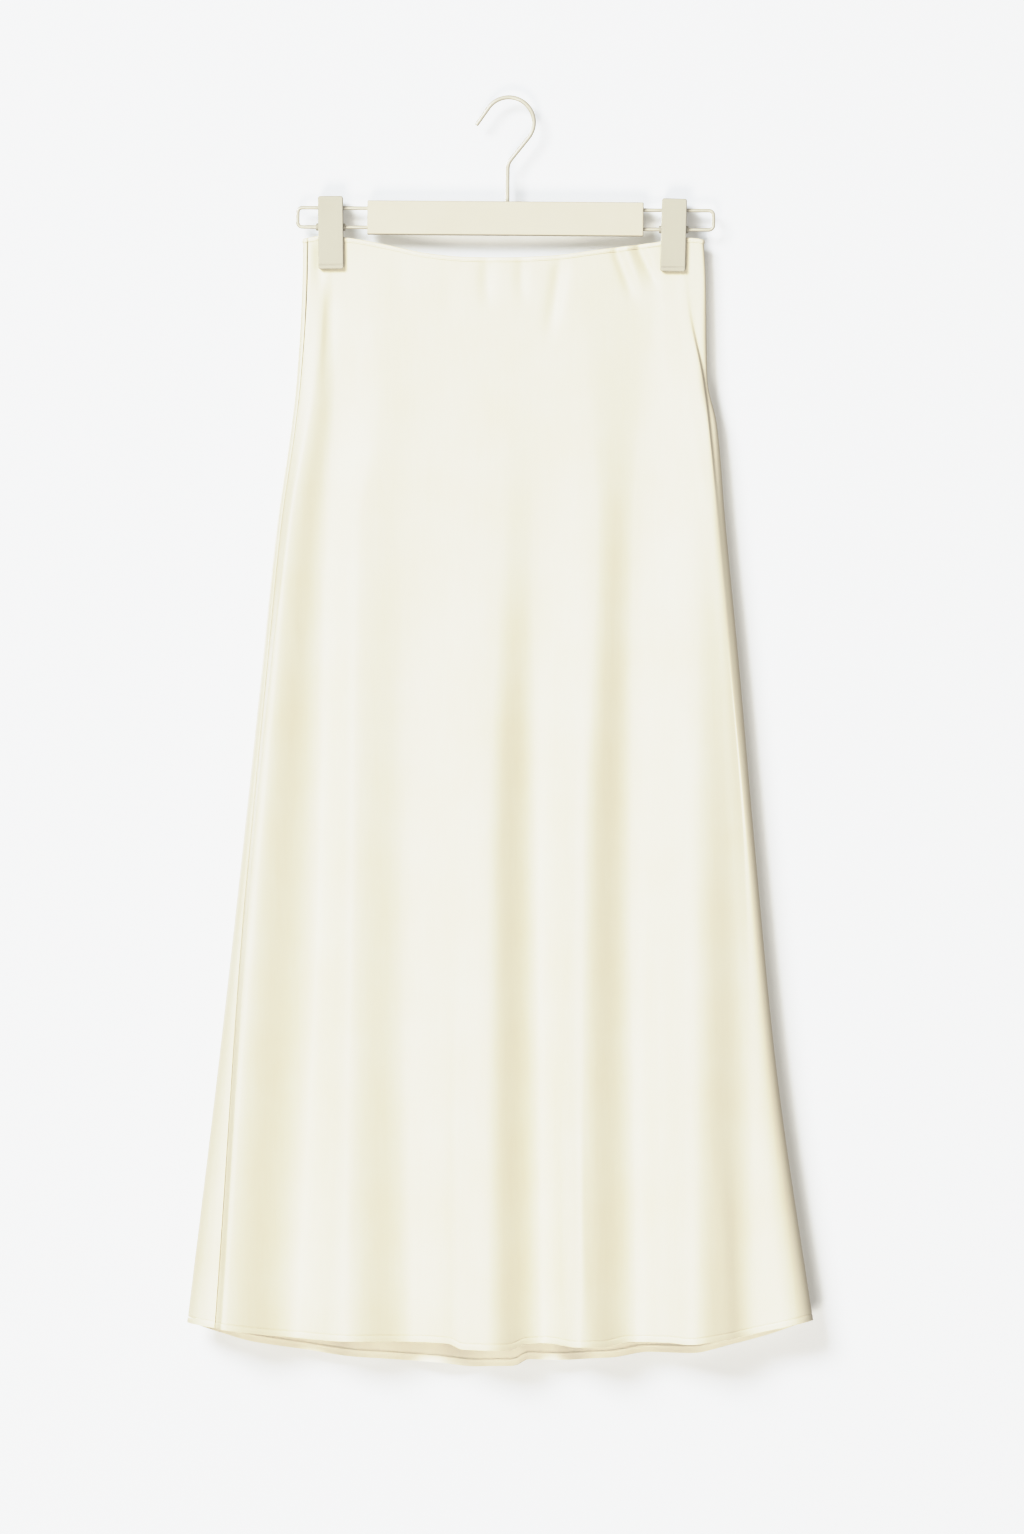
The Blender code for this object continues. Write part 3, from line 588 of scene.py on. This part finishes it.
def moulded(name, light, deep, roughness, grain_size):
    """Moulded plastic with a spark-eroded grain: it scatters light and shows no clear highlight."""
    made, tree = new_material(name)
    place = add_node(tree, "ShaderNodeTexCoord").outputs["Object"]
    grain = add_node(tree, "ShaderNodeTexNoise", {"Scale": 1 / grain_size, "Detail": 2.0},
                     {"Vector": place})
    # The melt's flow leaves broad clouds 30 mm across.
    cloud = add_node(tree, "ShaderNodeTexNoise", {"Scale": 1 / 0.03, "Detail": 2.0}, {"Vector": place})
    colour = add_node(tree, "ShaderNodeMix",
                      {"data_type": "RGBA", 6: from_hex(light), 7: from_hex(deep)},
                      {0: cloud.outputs[0]})
    rough = add_node(tree, "ShaderNodeMapRange",
                     {"To Min": roughness - 0.06, "To Max": roughness + 0.06}, {"Value": grain.outputs[0]})
    bump = add_node(tree, "ShaderNodeBump", {"Strength": 0.15, "Distance": 0.00008},
                    {"Height": grain.outputs[0]})
    shader = add_node(tree, "ShaderNodeBsdfPrincipled", {"Specular IOR Level": 0.4},
                      {"Base Color": colour.outputs[2], "Roughness": rough.outputs[0],
                       "Normal": bump.outputs[0]})
    add_node(tree, "ShaderNodeOutputMaterial", links={"Surface": shader.outputs[0]})
    return made


def turned(points, degrees, about=(0, 0)):
    """Points in mm, turned about a line along Y through a place across and a height."""
    angle = math.radians(degrees)
    x, z = points[..., 0] - about[0], points[..., 2] - about[1]
    return np.stack([about[0] + x * math.cos(angle) + z * math.sin(angle), points[..., 1],
                     about[1] - x * math.sin(angle) + z * math.cos(angle)], axis=-1)


def corner_inset(distance, radius):
    """How far a rounded edge has drawn in, at a distance from the end."""
    if distance >= radius:
        return 0.0
    return radius - math.sqrt(max(radius**2 - (radius - distance) ** 2, 0))


def rounded_section(low_a, high_a, low_b, high_b, radius):
    """A rounded rectangle as pairs, with four points on each corner."""
    pairs = []
    for a, b, start in ((high_a - radius, high_b - radius, 0), (low_a + radius, high_b - radius, 90),
                        (low_a + radius, low_b + radius, 180), (high_a - radius, low_b + radius, 270)):
        pairs += [(a + radius * math.cos(math.radians(start + step * 30)),
                   b + radius * math.sin(math.radians(start + step * 30))) for step in range(4)]
    return pairs


def end_places(low, high, radius):
    """Places along a bar, close together where its ends are rounded."""
    near = [radius * (1 - math.cos(math.radians(step * 18))) for step in range(6)]
    return [low + d for d in near] + [high - d for d in reversed(near)]


abs_matt = moulded("ABS, moulded with a matt grain", "#CFCABC", "#CCC6B7", 0.6, 0.0009)
BLOCK_SOFT = 0.9
block_rings = []
for x in end_places(BLOCK_LEFT, BLOCK_RIGHT, BLOCK_SOFT):
    inset = corner_inset(min(x - BLOCK_LEFT, BLOCK_RIGHT - x), BLOCK_SOFT)
    section = rounded_section(-BLOCK_THICK / 2 + inset, BLOCK_THICK / 2 - inset, -BLOCK_BOTTOM + inset,
                              -BLOCK_TOP - inset, BLOCK_SOFT)
    block_rings.append([(x, y, z) for y, z in section])
ring_stack("hanger_bar", turned(np.array(block_rings), HANGER_TILT_DEG), abs_matt, "hanger_block")

# The hook and the two rails: spring-steel wire, bent cold, cut square and powder-coated cream, so it
# keeps a soft gloss and a slight orange peel.
wire_coat, tree = new_material("spring-steel wire, powder-coated")
place = add_node(tree, "ShaderNodeTexCoord").outputs["Object"]
# Orange peel in the powder, 1.2 mm across.
peel = add_node(tree, "ShaderNodeTexNoise", {"Scale": 1 / 0.0012, "Detail": 2.0}, {"Vector": place})
colour = add_node(tree, "ShaderNodeMix",
                  {"data_type": "RGBA", 6: from_hex("#CDC9BD"), 7: from_hex("#C4C0B3")},
                  {0: peel.outputs[0]})
bump = add_node(tree, "ShaderNodeBump", {"Strength": 0.2, "Distance": 0.00005},
                {"Height": peel.outputs[0]})
shader = add_node(tree, "ShaderNodeBsdfPrincipled",
                  {"Roughness": 0.3, "Specular IOR Level": 0.6, "Coat Weight": 0.3, "Coat Roughness": 0.15},
                  {"Base Color": colour.outputs[2], "Normal": bump.outputs[0]})
add_node(tree, "ShaderNodeOutputMaterial", links={"Surface": shader.outputs[0]})
HOOK_WIRE, HOOK_BOW_RADIUS, HOOK_STEM_X, HOOK_BEND_RADIUS = 3.3, 20.0, -0.8, 12.0
HOOK_LEAVE_DEG, HOOK_TIP_DEG, HOOK_TIP_LENGTH = -38.5, 145.0, 17.0
RAIL_WIRE, RAIL_TOP, RAIL_BOTTOM, RAIL_CORNER = 2.8, 88.0, 103.4, 3.6
SOCKET_DEPTH = 11.7


def arc(centre_x, centre_z, radius, first, last, steps):
    angles = np.radians(np.linspace(first, last, steps + 1))
    return [(centre_x + radius * math.cos(a), centre_z + radius * math.sin(a)) for a in angles]


def make_wire(name, route, thickness, node):
    """A round wire along a route of (across, height) points, its ends cut with a small chamfer."""
    route = np.array(route)
    way = unit(np.gradient(route, axis=0))
    depth = np.array([0, 1, 0])
    rings = []
    for i, (x, z) in enumerate(route):
        centre = np.array([x, 0, z])
        side = np.array([-way[i][1], 0, way[i][0]])
        angles = np.linspace(0, math.tau, 24, endpoint=False)
        rings.append([centre + thickness / 2 * (side * math.cos(a) + depth * math.sin(a)) for a in angles])
    rings = np.array(rings)
    for end, step in ((0, 1), (-1, -1)):
        centre = rings[end].mean(axis=0)
        chamfer = centre + (rings[end] - centre) * 0.82
        along_way = np.array([way[end][0], 0, way[end][1]]) * step * 0.3
        rings = (np.concatenate([[chamfer], rings]) if end == 0 else np.concatenate([rings, [chamfer]]))
        rings[end + step] += along_way
    return ring_stack(name, turned(rings, HANGER_TILT_DEG), wire_coat, node)


bow_z = -(HOOK_BOW_RADIUS - HOOK_WIRE / 2)
leave = math.radians(HOOK_LEAVE_DEG)
lean = math.radians(90 + HOOK_LEAVE_DEG)
leave_x, leave_z = HOOK_BOW_RADIUS * math.cos(leave), bow_z + HOOK_BOW_RADIUS * math.sin(leave)
bend_x = HOOK_STEM_X + HOOK_BEND_RADIUS
run = (leave_x - bend_x + HOOK_BEND_RADIUS * math.cos(leave)) / math.cos(lean)
bend_z = leave_z - run * math.sin(lean) + HOOK_BEND_RADIUS * math.sin(leave)
hook = [(HOOK_STEM_X, -BLOCK_TOP - SOCKET_DEPTH), (HOOK_STEM_X, -BLOCK_TOP)]
hook += arc(bend_x, bend_z, HOOK_BEND_RADIUS, 180, 180 + HOOK_LEAVE_DEG, 12)
hook += arc(0, bow_z, HOOK_BOW_RADIUS, HOOK_LEAVE_DEG, HOOK_TIP_DEG, 60)
tip = math.radians(HOOK_TIP_DEG)
hook.append((hook[-1][0] - HOOK_TIP_LENGTH * math.sin(tip), hook[-1][1] + HOOK_TIP_LENGTH * math.cos(tip)))
make_wire("wire_hook", hook, HOOK_WIRE, "hanger_hook")

for side, end_x, face_x, way in (("left", -168.6, BLOCK_LEFT, -1), ("right", 164.5, BLOCK_RIGHT, 1)):
    socket_x = face_x - way * SOCKET_DEPTH
    corner_x = end_x - way * RAIL_CORNER
    rail = [(socket_x, -RAIL_TOP)]
    rail += arc(corner_x, -RAIL_TOP - RAIL_CORNER, RAIL_CORNER, 90, 90 - way * 90, 10)
    rail += arc(corner_x, -RAIL_BOTTOM + RAIL_CORNER, RAIL_CORNER, 90 - way * 90, 90 - way * 180, 10)
    rail.append((socket_x, -RAIL_BOTTOM))
    make_wire(side + "_wire_rail", rail, RAIL_WIRE, side + "_rail")

# The two clips: each is a pair of flat jaws, moulded in polypropylene a shade darker than the block,
# with a fine lip line near the mouth. They turn on a short sleeve round the lower rail.
CLIP_WIDTH, CLIP_TOP, CLIP_BOTTOM, CLIP_GRIP_TOP = 20.0, 78.8, 137.2, 113.0
CLIP_OUTER, CLIP_INNER, CLIP_GRIP_INNER = 7.4, 3.2, 2.7
CLIP_CENTRES = {"left": -142.1, "right": 132.7}
CLIP_LEAN_DEG = {"left": -1.0, "right": 1.0}
CLIP_CORNER, CLIP_SOFT = 1.7, 0.8
LIP_HEIGHT, LIP_DEPTH, LIP_HALF, LIP_EDGE = 3.4, 0.35, 0.35, 0.15
PIVOT_RADIUS, PIVOT_OVERHANG, PIVOT_CHAMFER = 2.9, 1.8, 0.4
clip_plastic = moulded("polypropylene, moulded satin", "#BFBCB0", "#BAB6A9", 0.48, 0.0014)
sleeve_plastic = moulded("acetal sleeve, moulded smooth", "#BDB9AC", "#B3AFA2", 0.42, 0.002)


def make_jaw(side, way):
    lip = CLIP_BOTTOM - LIP_HEIGHT
    lip_start, lip_end = lip - LIP_HALF, lip + LIP_HALF
    drops = end_places(CLIP_TOP, CLIP_BOTTOM, CLIP_CORNER) + [CLIP_GRIP_TOP]
    drops += [lip_start - LIP_EDGE, lip_start, lip, lip_end, lip_end + LIP_EDGE]
    rings = []
    for drop in sorted(drops):
        to_end = min(drop - CLIP_TOP, CLIP_BOTTOM - drop)
        half = CLIP_WIDTH / 2 - corner_inset(to_end, CLIP_CORNER)
        soft = corner_inset(to_end, CLIP_SOFT)
        groove = LIP_DEPTH if abs(drop - lip) <= LIP_HALF + 0.01 else 0.0
        grip = np.clip((drop - CLIP_GRIP_TOP) / (CLIP_BOTTOM - CLIP_GRIP_TOP), 0, 1)
        inner = CLIP_INNER + (CLIP_GRIP_INNER - CLIP_INNER) * grip
        section = rounded_section(-half, half, inner + soft, CLIP_OUTER - soft - groove, CLIP_SOFT)
        rings.append([(CLIP_CENTRES[side] + x, way * y, -drop) for x, y in section])
    leaned = turned(np.array(rings), CLIP_LEAN_DEG[side], (CLIP_CENTRES[side], -RAIL_BOTTOM))
    place_name = "front" if way < 0 else "back"
    ring_stack(f"{side}_jaw_{place_name}", turned(leaned, HANGER_TILT_DEG), clip_plastic,
               f"{side}_clip_{place_name}_jaw")


for side, centre in CLIP_CENTRES.items():
    make_jaw(side, -1)
    make_jaw(side, 1)
    sleeve = []
    half = CLIP_WIDTH / 2 + PIVOT_OVERHANG
    end_radius = PIVOT_RADIUS - PIVOT_CHAMFER
    for x, radius in ((-half, end_radius), (-half + PIVOT_CHAMFER, PIVOT_RADIUS),
                      (half - PIVOT_CHAMFER, PIVOT_RADIUS), (half, end_radius)):
        sleeve.append([(centre + x, radius * math.cos(a), -RAIL_BOTTOM + radius * math.sin(a))
                       for a in np.linspace(0, math.tau, 32, endpoint=False)])
    ring_stack(side + "_pivot_sleeve", turned(np.array(sleeve), HANGER_TILT_DEG), sleeve_plastic,
               side + "_clip_pivot")

# The room: a pale wall close behind, a pale floor, one soft key light from the upper left, weaker
# fills from below, from the right and from behind, and the even light of a white studio.
def plane(name, corners, colour, roughness):
    mesh = bpy.data.meshes.new(name)
    mesh.from_pydata(corners, [], [(0, 1, 2, 3)])
    paint, tree = new_material(name + " emulsion, rolled")
    place = add_node(tree, "ShaderNodeTexCoord").outputs["Object"]
    roll = add_node(tree, "ShaderNodeTexNoise", {"Scale": 1 / 0.004, "Detail": 3.0}, {"Vector": place})
    bump = add_node(tree, "ShaderNodeBump", {"Strength": 0.05, "Distance": 0.0002},
                    {"Height": roll.outputs[0]})
    shader = add_node(tree, "ShaderNodeBsdfPrincipled",
                      {"Base Color": from_hex(colour), "Roughness": roughness},
                      {"Normal": bump.outputs[0]})
    clear = add_node(tree, "ShaderNodeBsdfTransparent")
    side = add_node(tree, "ShaderNodeNewGeometry")
    mix = add_node(tree, "ShaderNodeMixShader",
                   links={0: side.outputs["Backfacing"], 1: shader.outputs[0], 2: clear.outputs[0]})
    add_node(tree, "ShaderNodeOutputMaterial", links={"Surface": mix.outputs[0]})
    mesh.materials.append(paint)
    made = bpy.data.objects.new(name, mesh)
    bpy.context.scene.collection.objects.link(made)
    return made


# The wall leans back by about a degree, so that it stays close behind the skirt from waist to hem.
WALL_FOOT, WALL_HEAD = 0.046, 0.001
wall_board = plane("wall", [(-4, WALL_FOOT, -1.9), (4, WALL_FOOT, -1.9), (4, WALL_HEAD, 1.1),
                            (-4, WALL_HEAD, 1.1)], "#F5F9FF", 0.9)
floor_board = plane("floor", [(-6, -8, -1.9), (6, -8, -1.9), (6, 8, -1.9), (-6, 8, -1.9)],
                    "#F2F2F3", 0.9)
for board in (wall_board, floor_board):
    board.visible_shadow = False
    board.visible_diffuse = False
    board.visible_glossy = False

world = bpy.data.worlds.new("studio")
bpy.context.scene.world = world
world.use_nodes = True
sky = world.node_tree.nodes["Background"]
sky.inputs[0].default_value = from_hex("#FFF7EA")
sky.inputs[1].default_value = 0.4
# The camera sees the studio as plain pale grey.
seen = add_node(world.node_tree, "ShaderNodeBackground", {0: from_hex("#F3F4F7"), 1: 1.25})
ray = add_node(world.node_tree, "ShaderNodeLightPath")
both = add_node(world.node_tree, "ShaderNodeMixShader",
                links={0: ray.outputs["Is Camera Ray"], 1: sky.outputs[0], 2: seen.outputs[0]})
world.node_tree.links.new(both.outputs[0], world.node_tree.nodes["World Output"].inputs[0])


def area_light(name, at, aim, width, height, watts, colour):
    light = bpy.data.lights.new(name, "AREA")
    light.shape = "RECTANGLE"
    light.size, light.size_y = width, height
    light.energy = watts
    light.color = from_hex(colour)[:3]
    made = bpy.data.objects.new(name, light)
    bpy.context.scene.collection.objects.link(made)
    made.location = at
    made.rotation_euler = (Vector(aim) - Vector(at)).to_track_quat("-Z", "Y").to_euler()
    return made


area_light("key", (-3.4, -6.3, 2.8), (0, 0, -0.5), 3.0, 2.4, 520, "#F4FAFF")
area_light("low fill", (-1.2, -6.0, -3.2), (0, 0, -0.9), 2.0, 2.0, 215, "#FFFAF0")
area_light("right fill", (4.6, -6.0, -0.4), (0, 0, -0.5), 2.4, 2.4, 45, "#FBFCFF")
area_light("back fill", (-2.2, 3.6, 0.8), (0, 0, -0.5), 1.6, 1.6, 130, "#FFFFFF")

# The camera stands 9 m in front, level with the middle of the photograph's frame, at 0.8 mm to
# a pixel of 1024 by 1534.
camera = bpy.data.cameras.new("camera")
camera.sensor_fit = "VERTICAL"
camera.sensor_height = 36
camera.lens = 36 * (9 - 0.015) / (1534 * 0.0008)
eye = bpy.data.objects.new("camera", camera)
bpy.context.scene.collection.objects.link(eye)
eye.location = (0.0024, -9, -0.535)
eye.rotation_euler = (math.pi / 2, 0, 0)
bpy.context.scene.camera = eye
# The photograph's bright end is soft: above 60 percent the tones bend over to the paper white.
display = bpy.context.scene.view_settings
display.view_transform = "Standard"
display.use_curve_mapping = True
tones = display.curve_mapping
tones.clip_max_x = tones.clip_max_y = 4.0
curve = tones.curves[3]
curve.points[1].location = (4.0, 0.97)
for at, value in ((0.3, 0.3), (0.6, 0.6), (0.84, 0.795), (1.05, 0.87), (1.5, 0.925), (2.5, 0.955)):
    curve.points.new(at, value).handle_type = "AUTO_CLAMPED"
tones.update()
